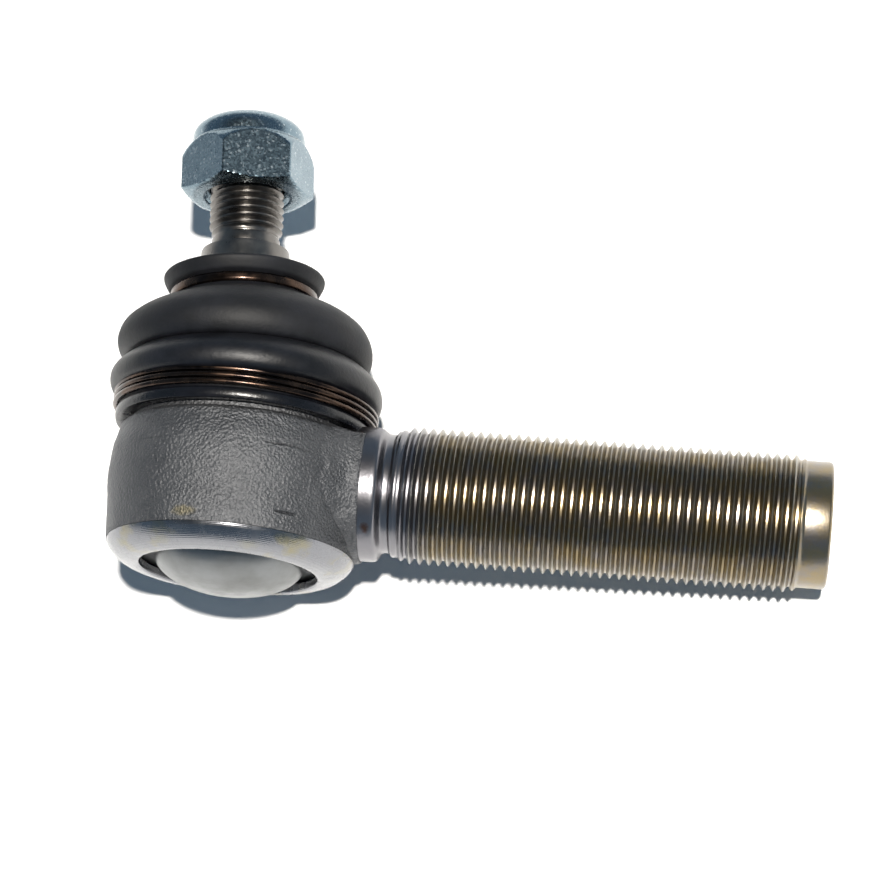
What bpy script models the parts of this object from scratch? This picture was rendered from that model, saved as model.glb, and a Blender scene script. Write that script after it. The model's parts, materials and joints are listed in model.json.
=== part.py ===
"""Tie rod end: a ball joint whose forged housing carries a left-hand threaded shank.

The part lies on its side, on its boot and the end of its shank, with +Z up. +Y runs along the socket's
axis, towards the nut. The shank runs along +X and dips to the ground. The origin is the bottom centre of
the whole part. Every length in the constants is in millimetres, and heights along the socket's axis count
from the ball's centre. At rest the ball stud leans a few degrees out of the socket's axis, away from the
shank.
"""

import math

import bmesh
import bpy
from mathutils import Matrix

MM = 0.001
GAP = 0.3
SEGMENTS = 36

# Ball joint
BALL_RADIUS = 12.0
SEAT_CLEARANCE = 0.1
STUD_LEAN = math.radians(4.6)
SHANK_DIP = math.radians(7.18)
MOUTH_ANGLE = 61.0
SEAT_OUTER = 15.2
SEAT_TOP = 7.3
SEAT_BOTTOM = -9.0

# Housing barrel
BARREL_RADIUS = 20.5
BARREL_SEGMENTS = 56
BARREL_TOP = 12.5
NECK_RADIUS = 18.0
SHOULDER = 7.4
BOOT_SEAT = 22.9
BORE_RADIUS = SEAT_OUTER + GAP
RIM_TOP = -11.4
RIM_OUTER = 17.4
RIM_EDGE = -13.9
OPENING_RADIUS = 14.05
RIM_BOTTOM = -14.6

# Threaded shank, M22 x 1.5 left hand
SHANK_MAJOR = 10.85
SHANK_PITCH = 1.5
SHANK_ROOT = 9.95
SHANK_THREAD_START = 25.5
SHANK_THREAD_END = 89.1
SHANK_END = 93.3
SHANK_SEGMENTS = 20

# Domed end cap and disc spring
CAP_SHEET = 1.2
CAP_FLANGE = -12.6
CAP_DOME_RADIUS = 12.0
CAP_DOME_HEIGHT = 5.5
SPRING_SHEET = 0.9
SPRING_INNER = 8.6

# Ball stud, M12 x 1.25
STUD_NECK = 6.0
STUD_MAJOR = 6.0
STUD_PITCH = 1.25
STUD_ROOT = 5.3
STUD_RELIEF = 5.6
TAPER_LARGE = 8.3
TAPER_LARGE_AT = 20.5
TAPER_SMALL = 7.1
TAPER_SMALL_AT = 38.7
STUD_THREAD_START = 41.0
STUD_THREAD_END = 59.4
STUD_END = 60.2
STUD_SEGMENTS = 20

# Prevailing-torque nut
NUT_FACE = 48.2
NUT_ACROSS_FLATS = 19.0
NUT_HEX_HEIGHT = 8.3
NUT_TOP = 60.9
NUT_YAW = math.radians(15.7)
NUT_BORE = 6.2
NUT_COLLAR = 9.3
INSERT_OUTER = 7.9
INSERT_BOTTOM = 57.3
INSERT_TOP = 60.0

# Boot and its rings
BOOT_BOTTOM = 7.75
BOOT_BULGE = 21.8
BOOT_BULGE_AT = 14.9
BOOT_LIP_TOP = 34.5
BOOT_SEGMENTS = 36
RING_INNER = 11.3
RING_OUTER = 11.85
RING_BOTTOM = 29.95
RING_TOP = 31.5
COIL_WIRE = 0.48
COIL_RADIUS = 20.85
COIL_PITCH = 1.07
COIL_TURNS = 2.0
COIL_START = 10.2

PART_LEFT = -BOOT_BULGE
PART_RIGHT = SHANK_END * math.cos(SHANK_DIP) + SHANK_ROOT * math.sin(SHANK_DIP)
PART_BACK = CAP_FLANGE - CAP_DOME_HEIGHT
PART_FRONT = NUT_TOP * math.cos(STUD_LEAN) + STUD_MAJOR * math.sin(STUD_LEAN)
BALL_CENTRE = (-(PART_LEFT + PART_RIGHT) / 2, -(PART_BACK + PART_FRONT) / 2, BOOT_BULGE)


def clear_scene():
    for item in list(bpy.data.objects):
        bpy.data.objects.remove(item, do_unlink=True)


def material(name, colour, roughness, metallic):
    made = bpy.data.materials.new(name)
    made.use_nodes = True
    shader = made.node_tree.nodes["Principled BSDF"]
    shader.inputs["Base Color"].default_value = (*colour, 1.0)
    shader.inputs["Roughness"].default_value = roughness
    shader.inputs["Metallic"].default_value = metallic
    return made


def empty(name, parent=None, location=(0.0, 0.0, 0.0), rotation=(0.0, 0.0, 0.0)):
    made = bpy.data.objects.new(name, None)
    made.parent = parent
    made.location = location
    made.rotation_euler = rotation
    bpy.context.scene.collection.objects.link(made)
    return made


def object_from(name, bm, parent, finish=None):
    """Turns a millimetre bmesh into an object in metres, with its faces outward."""
    bmesh.ops.recalc_face_normals(bm, faces=bm.faces)
    bmesh.ops.scale(bm, vec=(MM, MM, MM), verts=bm.verts)
    mesh = bpy.data.meshes.new(name)
    bm.to_mesh(mesh)
    bm.free()
    mesh.shade_smooth()
    mesh.set_sharp_from_angle(angle=math.radians(32))
    if finish is not None:
        mesh.materials.append(finish)
    made = bpy.data.objects.new(name, mesh)
    made.parent = parent
    bpy.context.scene.collection.objects.link(made)
    return made


def turned(profile, segments=SEGMENTS):
    """A closed (radius, height) outline turned about the Y axis."""
    bm = bmesh.new()
    points = [bm.verts.new((radius, height, 0.0)) for radius, height in profile]
    edges = [bm.edges.new((a, b)) for a, b in zip(points, points[1:] + points[:1])]
    bmesh.ops.spin(
        bm,
        geom=points + edges,
        cent=(0, 0, 0),
        axis=(0, 1, 0),
        angle=2 * math.pi,
        steps=segments,
        use_merge=True,
        use_duplicate=False,
    )
    bmesh.ops.remove_doubles(bm, verts=bm.verts, dist=1e-4)
    bmesh.ops.dissolve_degenerate(bm, edges=bm.edges, dist=1e-5)
    return bm


def arc(radius, start, end, steps, height=0.0, squash=1.0):
    """Points of an arc round the Y axis, angles in degrees from +Y; squash flattens it along Y."""
    angles = [math.radians(start + (end - start) * i / steps) for i in range(steps + 1)]
    return [(radius * math.sin(a), height + radius * squash * math.cos(a)) for a in angles]


def threaded_bar(before, after, thread, segments):
    """A turned bar along +X with one helical thread.

    before and after are (along, radius) outlines on each side of the thread, which is a dict with
    start, end, root, major, pitch and hand (1 right, -1 left). Each column of points round the bar
    holds the same crests and roots, shifted by its share of the pitch, so the columns join up as one
    closed surface with a seam that is one pitch out of step.
    """
    start, end, pitch = thread["start"], thread["end"], thread["pitch"]
    count = int(2 * ((end - start) / pitch - 1))
    depth = thread["major"] - thread["root"]

    def radius_at(along, is_crest):
        run_out = min(1.0, (along - start) / (1.2 * pitch), (end - along) / pitch)
        return thread["root"] + (depth * max(run_out, 0.0) if is_crest else 0.0)

    bm = bmesh.new()
    columns = []
    for j in range(segments):
        angle = thread["hand"] * 2 * math.pi * j / segments
        steps = [start + pitch * (0.5 * k + j / segments) for k in range(1, count + 1)]
        ridges = [(a, radius_at(a, k % 2 == 0)) for k, a in enumerate(steps)]
        outline = before + [(start, thread["root"])] + ridges + [(end, thread["root"])] + after
        columns.append(
            [bm.verts.new((a, r * math.cos(angle), r * math.sin(angle))) for a, r in outline]
        )
    for one, two in zip(columns, columns[1:]):
        for i in range(len(one) - 1):
            bm.faces.new((one[i], one[i + 1], two[i + 1], two[i]))

    last, first = columns[-1], columns[0]
    s = len(before)
    e = s + count + 1
    for i in list(range(s)) + list(range(e, len(first) - 1)):
        bm.faces.new((last[i], last[i + 1], first[i + 1], first[i]))
    for i in range(s, s + 2):
        bm.faces.new((last[s], first[i + 1], first[i]))
    for i in range(s, e - 3):
        bm.faces.new((last[i], last[i + 1], first[i + 3], first[i + 2]))
    bm.faces.new((first[e - 1], last[e - 3], first[e]))
    for i in range(e - 3, e):
        bm.faces.new((last[i], last[i + 1], first[e]))
    bm.faces.new([column[0] for column in columns])
    bm.faces.new([column[-1] for column in columns])
    return bm


def boolean(target, operation, tool):
    modifier = target.modifiers.new(operation.title(), "BOOLEAN")
    modifier.operation = operation
    modifier.object = tool
    modifier.solver = "EXACT"
    tool.hide_render = True
    tool.display_type = "WIRE"


def housing(parent):
    """Forged barrel and shank, bored from the cap side, with the rim rolled in over the cap."""
    steel = material("forged_steel", (0.11, 0.11, 0.12), 0.5, 1.0)
    barrel = [
        (0.0, BARREL_TOP),
        (NECK_RADIUS - 0.4, BARREL_TOP),
        (NECK_RADIUS, BARREL_TOP - 0.4),
        (NECK_RADIUS, SHOULDER),
        (NECK_RADIUS + 1.3, SHOULDER - 0.1),
        (NECK_RADIUS + 1.8, SHOULDER - 1.0),
        (BARREL_RADIUS - 0.1, 2.5),
        (BARREL_RADIUS, -1.0),
        (BARREL_RADIUS - 0.55, -8.0),
        (BARREL_RADIUS - 0.85, RIM_TOP),
        (RIM_OUTER, RIM_EDGE),
        (OPENING_RADIUS, RIM_BOTTOM),
        (0.0, RIM_BOTTOM),
    ]
    made = object_from("housing", turned(barrel, BARREL_SEGMENTS), parent, steel)
    shank = threaded_bar(
        before=[(10.0, 11.1), (21.4, 11.0), (22.3, 10.8), (23.1, 9.8), (23.8, 9.4), (24.9, 9.4)],
        after=[(SHANK_END - 0.4, SHANK_ROOT), (SHANK_END, SHANK_ROOT - 0.4)],
        thread={
            "start": SHANK_THREAD_START,
            "end": SHANK_THREAD_END,
            "root": SHANK_ROOT,
            "major": SHANK_MAJOR,
            "pitch": SHANK_PITCH,
            "hand": -1,
        },
        segments=SHANK_SEGMENTS,
    )
    boolean(made, "UNION", object_from("shank_tool", shank, parent))
    seat_ring = [
        (NECK_RADIUS, SHOULDER),
        (BOOT_SEAT, SHOULDER),
        (BOOT_SEAT, BARREL_TOP + 1.0),
        (NECK_RADIUS, BARREL_TOP + 1.0),
    ]
    boolean(made, "DIFFERENCE", object_from("seat_tool", turned(seat_ring, BARREL_SEGMENTS), parent))
    mouth_angle = math.radians(MOUTH_ANGLE)
    mouth_inner = BALL_RADIUS * math.sin(mouth_angle) + 0.9
    cavity = [
        (0.0, BARREL_TOP + 2.0),
        (14.9, BARREL_TOP + 2.0),
        (mouth_inner, SEAT_TOP + GAP),
        (BORE_RADIUS, SEAT_TOP + GAP),
        (BORE_RADIUS, CAP_FLANGE - GAP),
        (OPENING_RADIUS, CAP_FLANGE - GAP - 0.5),
        (OPENING_RADIUS, RIM_BOTTOM - 2.0),
        (0.0, RIM_BOTTOM - 2.0),
    ]
    boolean(made, "DIFFERENCE", object_from("cavity_tool", turned(cavity, BARREL_SEGMENTS), parent))


def seats(parent):
    """The two bearing rings that hold the ball, above and below its equator."""
    plastic = material("acetal", (0.75, 0.74, 0.7), 0.4, 0.0)
    cup = BALL_RADIUS + SEAT_CLEARANCE
    upper = arc(cup, MOUTH_ANGLE, 89.0, 5) + [
        (SEAT_OUTER, 0.2),
        (SEAT_OUTER, SEAT_TOP),
        (cup * math.sin(math.radians(MOUTH_ANGLE)) + 0.5, SEAT_TOP),
    ]
    object_from("upper_seat", turned(upper), parent, plastic)
    lower_edge = math.degrees(math.acos(SEAT_BOTTOM / cup))
    lower = arc(cup, 91.0, lower_edge, 6) + [(SEAT_OUTER, SEAT_BOTTOM), (SEAT_OUTER, -0.2)]
    object_from("lower_seat", turned(lower), parent, plastic)


def disc_spring(parent):
    """Coned disc spring between the lower seat and the cap's flange."""
    steel = material("spring_steel", (0.2, 0.2, 0.21), 0.35, 1.0)
    top = SEAT_BOTTOM - GAP
    floor = CAP_FLANGE + CAP_SHEET + GAP
    cone = [
        (SPRING_INNER, top - SPRING_SHEET),
        (SPRING_INNER, top),
        (SEAT_OUTER - GAP, floor + SPRING_SHEET),
        (SEAT_OUTER - GAP, floor),
    ]
    object_from("disc_spring", turned(cone), parent, steel)


def end_cap(parent):
    """Pressed steel cap: a flat flange under the rolled rim and a shallow dome."""
    steel = material("cap_steel", (0.55, 0.56, 0.57), 0.35, 1.0)
    flange_top = CAP_FLANGE + CAP_SHEET
    rise = CAP_DOME_HEIGHT / CAP_DOME_RADIUS
    inside = CAP_DOME_RADIUS - CAP_SHEET
    inner_rise = (CAP_DOME_HEIGHT - 0.1) / inside
    outer = arc(CAP_DOME_RADIUS, 100.0, 180.0, 8, CAP_FLANGE, rise)
    inner = arc(inside, 180.0, 92.0, 8, flange_top - 0.2, inner_rise)
    profile = [(SEAT_OUTER, flange_top), (SEAT_OUTER, CAP_FLANGE), (12.5, CAP_FLANGE)]
    profile += outer + inner + [(inside, flange_top)]
    object_from("end_cap", turned(profile), parent, steel)


def ball_stud(parent):
    """Ball, waist, taper and M12 thread, turned from one bar."""
    steel = material("turned_steel", (0.42, 0.43, 0.44), 0.3, 1.0)
    waist_angle = math.degrees(math.asin(STUD_NECK / BALL_RADIUS))
    ball = [(-h, r) for r, h in arc(BALL_RADIUS, 4.0, 180.0 - waist_angle, 13)]
    before = ball + [
        (17.8, STUD_NECK),
        (19.3, STUD_NECK + 0.8),
        (TAPER_LARGE_AT, TAPER_LARGE),
        (TAPER_SMALL_AT, TAPER_SMALL),
        (TAPER_SMALL_AT + 0.3, TAPER_SMALL - 0.4),
        (TAPER_SMALL_AT + 0.5, STUD_RELIEF),
        (STUD_THREAD_START - 0.4, STUD_RELIEF),
    ]
    after = [(STUD_THREAD_END + 0.1, STUD_ROOT), (STUD_END, STUD_ROOT - 0.6)]
    thread = {
        "start": STUD_THREAD_START,
        "end": STUD_THREAD_END,
        "root": STUD_ROOT,
        "major": STUD_MAJOR,
        "pitch": STUD_PITCH,
        "hand": 1,
    }
    bm = threaded_bar(before, after, thread, STUD_SEGMENTS)
    bmesh.ops.rotate(bm, cent=(0, 0, 0), matrix=Matrix.Rotation(math.pi / 2, 3, "Z"), verts=bm.verts)
    object_from("ball_stud", bm, parent, steel)


def nut(parent):
    """Hexagon nut with chamfered corners and a round collar that holds the nylon insert."""
    zinc = material("zinc_plate", (0.62, 0.66, 0.7), 0.3, 1.0)
    corner = NUT_ACROSS_FLATS / math.sqrt(3)
    hex_top = NUT_FACE + NUT_HEX_HEIGHT
    bm = bmesh.new()
    bmesh.ops.create_cone(
        bm,
        cap_ends=True,
        segments=6,
        radius1=corner,
        radius2=corner,
        depth=NUT_HEX_HEIGHT,
        matrix=Matrix.Translation((0, NUT_FACE + NUT_HEX_HEIGHT / 2, 0))
        @ Matrix.Rotation(NUT_YAW, 4, "Y")
        @ Matrix.Rotation(math.pi / 2, 4, "X")
        @ Matrix.Rotation(math.pi / 2, 4, "Z"),
    )
    made = object_from("nut", bm, parent, zinc)
    chamfer = [
        (0.0, NUT_FACE - 0.1),
        (NUT_ACROSS_FLATS / 2 - 0.5, NUT_FACE - 0.1),
        (corner + 0.3, NUT_FACE + 1.3),
        (corner + 0.3, hex_top - 1.0),
        (NUT_ACROSS_FLATS / 2 - 0.3, hex_top + 0.3),
        (0.0, hex_top + 0.3),
    ]
    boolean(made, "INTERSECT", object_from("chamfer_tool", turned(chamfer, 48), parent))
    collar = [
        (0.0, hex_top - 1.0),
        (NUT_COLLAR, hex_top - 1.0),
        (NUT_COLLAR, hex_top + 1.1),
        (NUT_COLLAR - 0.3, hex_top + 2.4),
        (NUT_COLLAR - 1.1, hex_top + 3.6),
        (NUT_COLLAR - 2.0, NUT_TOP),
        (0.0, NUT_TOP),
    ]
    boolean(made, "UNION", object_from("collar_tool", turned(collar), parent))
    bore = [
        (0.0, NUT_FACE - 1.0),
        (NUT_BORE + 0.7, NUT_FACE - 1.0),
        (NUT_BORE + 0.7, NUT_FACE),
        (NUT_BORE, NUT_FACE + 0.7),
        (NUT_BORE, INSERT_BOTTOM - GAP),
        (INSERT_OUTER + GAP, INSERT_BOTTOM - GAP),
        (INSERT_OUTER + GAP, hex_top + 2.2),
        (NUT_BORE + 0.6, INSERT_TOP + GAP),
        (NUT_BORE + 0.6, NUT_TOP + 1.0),
        (0.0, NUT_TOP + 1.0),
    ]
    boolean(made, "DIFFERENCE", object_from("bore_tool", turned(bore), parent))


def nut_insert(parent):
    """Nylon locking ring inside the nut's collar."""
    nylon = material("nylon", (0.8, 0.82, 0.85), 0.4, 0.0)
    ring = [
        (STUD_MAJOR + 0.15, INSERT_BOTTOM),
        (INSERT_OUTER, INSERT_BOTTOM),
        (INSERT_OUTER, INSERT_BOTTOM + 1.2),
        (STUD_MAJOR + 0.6, INSERT_TOP),
        (STUD_MAJOR + 0.15, INSERT_TOP),
    ]
    object_from("nut_insert", turned(ring), parent, nylon)


def boot(parent):
    """Rubber bellows: two bulges with a waist, open at both ends. It bends from socket axis to stud axis."""
    rubber = material("boot_rubber", (0.02, 0.021, 0.026), 0.45, 0.0)
    groove = COIL_RADIUS - COIL_WIRE - GAP
    outer = [
        (20.4, BOOT_BOTTOM),
        (20.7, BOOT_BOTTOM + 0.5),
        (20.6, 9.3),
        (groove, 9.5),
        (groove, 12.9),
        (20.9, 13.1),
        (BOOT_BULGE, BOOT_BULGE_AT),
        (21.4, 16.6),
        (19.4, 19.2),
        (20.2, 20.9),
        (20.4, 22.3),
        (19.9, 24.2),
        (18.4, 26.4),
        (16.0, 28.4),
        (13.2, 29.5),
        (RING_INNER - GAP, RING_BOTTOM - GAP),
        (RING_INNER - GAP, RING_TOP + GAP),
        (12.2, RING_TOP + 0.7),
        (13.1, BOOT_LIP_TOP - 0.3),
        (12.8, BOOT_LIP_TOP),
    ]
    inner = [
        (8.1, BOOT_LIP_TOP),
        (8.2, 29.4),
        (10.8, 28.3),
        (14.9, 26.4),
        (17.6, 23.6),
        (18.4, 21.6),
        (17.6, 19.2),
        (19.9, 16.1),
        (19.9, 14.2),
        (NECK_RADIUS + GAP, 13.2),
        (NECK_RADIUS + GAP, BOOT_BOTTOM),
    ]
    bm = turned(outer + inner, BOOT_SEGMENTS)
    for vert in bm.verts:
        share = min(max((vert.co.y - SHOULDER) / (RING_BOTTOM - SHOULDER), 0.0), 1.0)
        turn = STUD_LEAN * share * share * (3 - 2 * share)
        vert.co.rotate(Matrix.Rotation(turn, 3, "Z"))
    object_from("boot", bm, parent, rubber)


def boot_upper_ring(parent):
    """Flat bronze-coloured band round the boot's neck."""
    bronze = material("bronzed_steel", (0.28, 0.18, 0.12), 0.3, 1.0)
    band = [
        (RING_INNER, RING_BOTTOM),
        (RING_OUTER, RING_BOTTOM),
        (RING_OUTER, RING_TOP),
        (RING_INNER, RING_TOP),
    ]
    object_from("boot_upper_ring", turned(band, BOOT_SEGMENTS), parent, bronze)


def boot_clamp_coil(parent):
    """Round wire wound twice round the boot's foot."""
    bronze = material("bronzed_wire", (0.3, 0.2, 0.14), 0.3, 1.0)
    curve = bpy.data.curves.new("boot_clamp_coil", "CURVE")
    curve.dimensions = "3D"
    curve.bevel_depth = COIL_WIRE * MM
    curve.bevel_resolution = 2
    curve.use_fill_caps = True
    curve.materials.append(bronze)
    steps = int(COIL_TURNS * BOOT_SEGMENTS)
    spline = curve.splines.new("POLY")
    spline.points.add(steps)
    for i, point in enumerate(spline.points):
        angle = 2 * math.pi * i / BOOT_SEGMENTS
        height = COIL_START + COIL_PITCH * i / BOOT_SEGMENTS
        point.co = (
            COIL_RADIUS * math.cos(angle) * MM,
            height * MM,
            COIL_RADIUS * math.sin(angle) * MM,
            1.0,
        )
    made = bpy.data.objects.new("boot_clamp_coil", curve)
    made.parent = parent
    bpy.context.scene.collection.objects.link(made)


def main():
    clear_scene()
    place = [v * MM for v in BALL_CENTRE]
    ball_centre = empty("ball_centre", location=place, rotation=(0.0, SHANK_DIP, 0.0))
    stud_axis = empty("stud_axis", parent=ball_centre, rotation=(0.0, 0.0, STUD_LEAN))
    for build in (housing, seats, disc_spring, end_cap, boot, boot_clamp_coil):
        build(ball_centre)
    for build in (ball_stud, nut, nut_insert, boot_upper_ring):
        build(stud_axis)


main()
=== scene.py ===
import json
import math

import bmesh
import bpy
from bpy.props import FloatProperty, FloatVectorProperty, PointerProperty
from mathutils import Matrix, Vector, noise


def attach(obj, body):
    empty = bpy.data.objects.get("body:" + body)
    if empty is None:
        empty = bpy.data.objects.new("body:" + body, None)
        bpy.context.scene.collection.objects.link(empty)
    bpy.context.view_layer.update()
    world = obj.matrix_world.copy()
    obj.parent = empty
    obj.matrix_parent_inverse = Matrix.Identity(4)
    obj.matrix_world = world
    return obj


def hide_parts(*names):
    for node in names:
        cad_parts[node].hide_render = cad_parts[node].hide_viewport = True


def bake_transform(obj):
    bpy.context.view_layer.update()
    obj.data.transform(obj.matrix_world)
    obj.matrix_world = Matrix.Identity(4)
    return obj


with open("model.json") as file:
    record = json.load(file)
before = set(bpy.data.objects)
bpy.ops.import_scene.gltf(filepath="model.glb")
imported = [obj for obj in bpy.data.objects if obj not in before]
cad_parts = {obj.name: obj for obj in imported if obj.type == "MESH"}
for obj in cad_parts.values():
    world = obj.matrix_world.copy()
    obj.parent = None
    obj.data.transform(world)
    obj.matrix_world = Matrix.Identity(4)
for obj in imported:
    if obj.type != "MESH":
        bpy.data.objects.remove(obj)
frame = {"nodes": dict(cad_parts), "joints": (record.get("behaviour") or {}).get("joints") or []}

bl_info = {
    "name": "Tie rod end",
    "version": (1, 0, 0),
    "blender": (4, 5, 0),
    "location": "3D View > Sidebar > Tie rod end",
    "description": "Builds a ball joint tie rod end: forging, threads, boot, nut and a pale stage",
    "category": "Add Mesh",
}

MM = 0.001
WAVE_PERIOD = 0.314  # the length of one band of a wave texture at scale 1
LEFT_HAND, RIGHT_HAND = -1.0, 1.0
FORGED_TOP = 7.3  # height where the forged skin ends under the boot's foot
FLANK_TOP = 8.9  # the shank's flank is cut flat here, to clear the boot
BOOT_BEND = (7.4, 29.95)  # heights between which the boot bends from the socket's axis to the stud's

JOINTS = {joint["name"]: joint for joint in frame["joints"]}
CENTRE = Vector(JOINTS["ball_swing"]["pos_m"])
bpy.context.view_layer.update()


def axes_at(up, out):
    """Millimetres on a piece's own axes to metres in the frame: +Y runs up the socket or stud, +Z out."""
    up, out = Vector(up).normalized(), Vector(out).normalized()
    turn = Matrix((up.cross(out), up, out)).transposed().to_4x4()
    return Matrix.Translation(CENTRE) @ turn @ Matrix.Scale(MM, 4)


SOCKET = axes_at((0, 1, 0), JOINTS["ball_swing"]["axis"])
STUD = axes_at(JOINTS["stud_spin"]["axis"], JOINTS["ball_swing"]["axis"])
LEAN = SOCKET.to_3x3().col[1].angle(STUD.to_3x3().col[1])


def linear(code):
    """An sRGB hex colour as the linear colour that Blender keeps."""
    parts = [int(code[i : i + 2], 16) / 255 for i in (0, 2, 4)]
    return tuple(c / 12.92 if c <= 0.04045 else ((c + 0.055) / 1.055) ** 2.4 for c in parts)


def tint(code):
    """The same, as an opaque colour for a node."""
    return (*linear(code), 1.0)


# ---------------- sizes and colours


def length(name, millimetres, description):
    return FloatProperty(
        name=name, description=description, default=millimetres * MM, subtype="DISTANCE", unit="LENGTH"
    )


def colour(name, code, description):
    return FloatVectorProperty(
        name=name, description=description, default=linear(code), subtype="COLOR", size=3, min=0, max=1
    )


class TieRodSizes(bpy.types.PropertyGroup):
    barrel_radius: length("Barrel radius", 20.5, "Radius of the forged socket at its widest")
    rim_top: length("Rim edge", -11.4, "Height of the machined rim's upper edge from the ball's centre")
    shank_crest: length("Shank crest radius", 10.82, "Outside radius of the shank's thread")
    shank_root: length("Shank root radius", 9.95, "Radius at the bottom of the shank's thread")
    shank_pitch: length("Shank pitch", 1.5, "Distance from crest to crest on the shank")
    shank_start: length("Shank thread start", 25.3, "Where the shank's thread starts, from the ball's centre")
    shank_stop: length("Shank thread end", 89.3, "Where the shank's thread ends, from the ball's centre")
    stud_crest: length("Stud crest radius", 6.0, "Outside radius of the stud's thread")
    stud_root: length("Stud root radius", 5.3, "Radius at the bottom of the stud's thread")
    stud_pitch: length("Stud pitch", 1.25, "Distance from crest to crest on the stud")
    stud_start: length("Stud thread start", 40.9, "Height where the stud's thread starts")
    stud_stop: length("Stud thread end", 59.5, "Height where the stud's thread ends")
    boot_bulge: length("Boot bulge radius", 21.8, "Widest radius of the boot's lower fold")
    wire: length("Clamp wire", 0.96, "Diameter of the wire round the boot's foot")
    nut_flats: length("Nut across flats", 19.0, "Distance between opposite flats of the nut")
    nut_face: length("Nut face height", 48.2, "Height of the nut's bearing face")
    nut_top: length("Nut top height", 60.9, "Height of the top of the nut's collar")


class TieRodColours(bpy.types.PropertyGroup):
    forging: colour("Forging", "6a6b6d", "Oiled, shot-blasted forging")
    rim: colour("Rim", "7f8084", "Turned steel of the rolled rim")
    shank: colour("Shank", "77767a", "Cut thread and turned neck")
    cap: colour("Cap", "77797a", "Pressed steel cap")
    stud: colour("Stud", "7c7975", "Ground and rolled stud steel")
    zinc: colour("Zinc", "7d8e97", "Blue-passivated zinc plating")
    bronze: colour("Bronzed wire", "58463a", "Bronze-coloured spring wire")
    rubber: colour("Rubber", "12141a", "Boot rubber")
    nylon: colour("Nylon", "d5dde4", "Locking insert")
    acetal: colour("Acetal", "dddbd2", "Bearing seats")
    floor: colour("Floor", "f7f8f9", "Paper the part lies on")


def sizes():
    """The add-on's lengths, in millimetres."""
    group = bpy.context.scene.tie_rod_sizes
    return {key: getattr(group, key) / MM for key in group.__annotations__}


def hue(key):
    """One of the add-on's colours, for a node."""
    return (*getattr(bpy.context.scene.tie_rod_colours, key), 1.0)


# ---------------- mesh helpers


def piece_from(name, bm, place, *finishes, sharp=30):
    """A millimetre bmesh put in its place in the frame, with its faces outward."""
    bmesh.ops.remove_doubles(bm, verts=bm.verts, dist=1e-4)
    bmesh.ops.recalc_face_normals(bm, faces=bm.faces)
    bmesh.ops.transform(bm, matrix=place, verts=bm.verts)
    mesh = bpy.data.meshes.new(name)
    bm.to_mesh(mesh)
    bm.free()
    mesh.shade_smooth()
    mesh.set_sharp_from_angle(angle=math.radians(sharp))
    for finish in finishes:
        mesh.materials.append(finish)
    made = bpy.data.objects.new(name, mesh)
    bpy.context.scene.collection.objects.link(made)
    return made


def curve_at(p, q, r, s, t):
    """A Catmull-Rom curve's value at this share of the way from q to r."""
    return 0.5 * (2 * q + (r - p) * t + (2 * p - 5 * q + 4 * r - s) * t * t + (3 * q - p - 3 * r + s) * t**3)


def smooth_outline(points, per_span=6):
    """A Catmull-Rom curve through (radius, height) points. A point written twice is a sharp corner."""
    runs, run = [], [points[0]]
    for point in points[1:]:
        if point == run[-1]:
            runs.append(run)
            run = []
        run.append(point)
    runs.append(run)
    outline = []
    for run in runs:
        ends = [run[0]] + run + [run[-1]]
        for a, b, c, d in zip(ends, ends[1:], ends[2:], ends[3:]):
            for step in range(per_span):
                t = step / per_span
                outline.append(tuple(curve_at(*four, t) for four in zip(a, b, c, d)))
        outline.append(run[-1])
    return outline


def split_long(outline, longest, closed=True):
    """Adds points so that no step of an outline is longer than this."""
    result = []
    for (r0, h0), (r1, h1) in zip(outline, outline[1:] + (outline[:1] if closed else [])):
        count = max(1, math.ceil(math.hypot(r1 - r0, h1 - h0) / longest))
        result += [(r0 + (r1 - r0) * i / count, h0 + (h1 - h0) * i / count) for i in range(count)]
    return result if closed else result + outline[-1:]


def turned(outline, steps, closed=True, axis="Y"):
    """An outline of (radius, height) points turned about the Y or X axis; radius 0 closes at a pole."""
    bm = bmesh.new()
    rings = []
    for step in range(steps):
        angle = 2 * math.pi * step / steps
        across, out = math.cos(angle), math.sin(angle)
        if axis == "Y":
            ring = [bm.verts.new((r * across, h, r * out)) for r, h in outline]
        else:
            ring = [bm.verts.new((h, r * across, r * out)) for r, h in outline]
        rings.append(ring)
    for one, two in zip(rings, rings[1:] + rings[:1]):
        for i in range(len(outline) - (0 if closed else 1)):
            j = (i + 1) % len(outline)
            if outline[i][0] or outline[j][0]:
                bm.faces.new((one[i], one[j], two[j], two[i]))
    bmesh.ops.remove_doubles(bm, verts=bm.verts, dist=1e-4)
    return bm


def bowl(width, depth, middle, degrees):
    """Points of an elliptic bowl about this height, at these angles from its lowest point."""
    angles = [math.radians(each) for each in degrees]
    return [(width * math.sin(a), middle - depth * math.cos(a)) for a in angles]


def rounded(outline, radius, cuts=3):
    """Rounds each corner of a closed outline with a small arc of about this radius."""
    result = []
    for a, b, c in zip(outline[-1:] + outline[:-1], outline, outline[1:] + outline[:1]):
        corner = Vector(b)
        before, after = Vector(a) - corner, Vector(c) - corner
        if corner[0] < 1e-6 or before.angle(after) > math.radians(165):
            result.append(b)
            continue
        cut = min(radius, 0.45 * before.length, 0.45 * after.length)
        start, end = corner + before.normalized() * cut, corner + after.normalized() * cut
        for i in range(cuts + 1):
            t = i / cuts
            point = start * (1 - t) ** 2 + corner * 2 * t * (1 - t) + end * t * t
            result.append(tuple(point))
    return result


def finish_piece(made, body, slot, *nodes):
    """Ties a finished piece to its body and hides the CAD nodes it stands for. The slot is not used."""
    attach(made, body)
    if nodes:
        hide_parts(*nodes)


# ---------------- material helpers


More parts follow.
